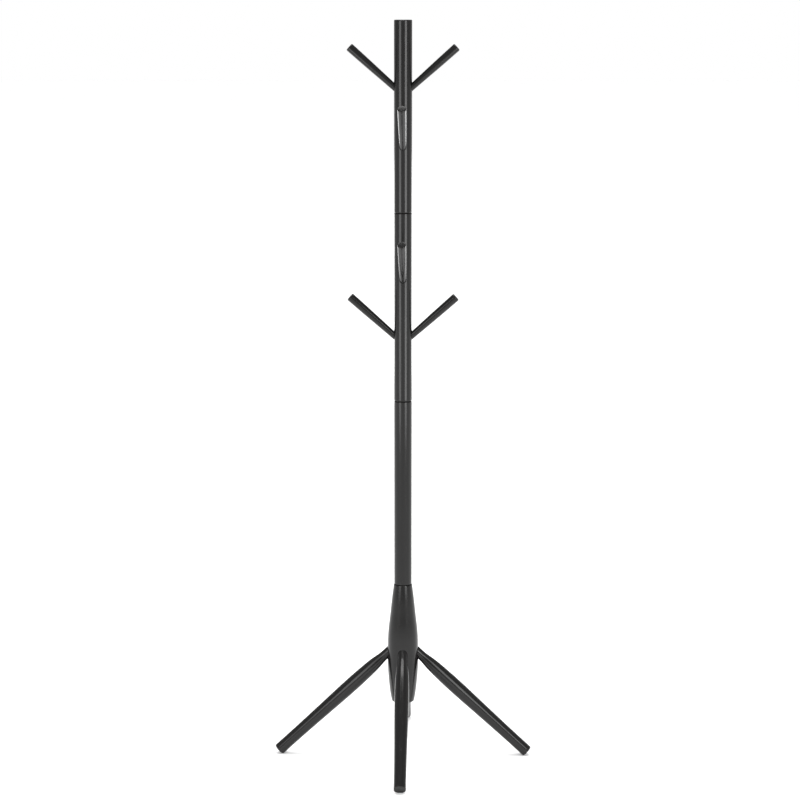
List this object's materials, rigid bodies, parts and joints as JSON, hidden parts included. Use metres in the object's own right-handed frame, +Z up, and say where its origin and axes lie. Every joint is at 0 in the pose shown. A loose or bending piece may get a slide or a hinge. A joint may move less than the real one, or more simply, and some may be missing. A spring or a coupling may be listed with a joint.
{
  "type": "standing coat rack",
  "caption": "Free-standing coat rack: a sectional round pole on a turned hub with splayed turned legs, and tapered pegs slanting up around its upper part.",
  "frame": {"origin": "on the floor, on the axis of the pole", "axes": "+Z up along the pole; the front, with a leg and two pegs facing the viewer, is -Y; +X is to the viewer's right"},
  "size_m": [0.6156, 0.6156, 1.75],
  "materials": {
    "black_lacquered_wood": "satin black lacquer over turned hardwood, the grain just showing",
    "zinc_steel": "zinc-plated steel",
    "brass": "plain turned brass",
    "rubber": "matt black rubber"
  },
  "bodies": {
    "root": {"pole_upper_section": "black_lacquered_wood", "pole_middle_section": "black_lacquered_wood", "pole_lower_section": "black_lacquered_wood", "base_hub": "black_lacquered_wood", "leg_front": "black_lacquered_wood", "leg_right": "black_lacquered_wood", "leg_back": "black_lacquered_wood", "leg_left": "black_lacquered_wood", "peg_middle_front": "black_lacquered_wood", "peg_middle_back": "black_lacquered_wood", "peg_middle_left": "black_lacquered_wood", "peg_middle_right": "black_lacquered_wood", "peg_upper_left": "black_lacquered_wood", "peg_upper_right": "black_lacquered_wood", "peg_upper_front": "black_lacquered_wood", "peg_upper_back": "black_lacquered_wood", "foot_pad_front": "rubber", "foot_pad_right": "rubber", "foot_pad_back": "rubber", "foot_pad_left": "rubber", "pole_bolt_upper": "zinc_steel", "pole_bolt_middle": "zinc_steel", "pole_bolt_lower": "zinc_steel", "leg_bolt_front": "zinc_steel", "leg_bolt_right": "zinc_steel", "leg_bolt_back": "zinc_steel", "leg_bolt_left": "zinc_steel", "peg_bolt_middle_front": "zinc_steel", "peg_bolt_middle_back": "zinc_steel", "peg_bolt_middle_left": "zinc_steel", "peg_bolt_middle_right": "zinc_steel", "peg_bolt_upper_left": "zinc_steel", "peg_bolt_upper_right": "zinc_steel", "peg_bolt_upper_front": "zinc_steel", "peg_bolt_upper_back": "zinc_steel", "pole_insert_upper": "brass", "pole_insert_middle": "brass", "pole_insert_lower": "brass", "leg_insert_front": "brass", "leg_insert_right": "brass", "leg_insert_back": "brass", "leg_insert_left": "brass", "peg_insert_middle_front": "brass", "peg_insert_middle_back": "brass", "peg_insert_middle_left": "brass", "peg_insert_middle_right": "brass", "peg_insert_upper_left": "brass", "peg_insert_upper_right": "brass", "peg_insert_upper_front": "brass", "peg_insert_upper_back": "brass"}
  },
  "joints": []
}
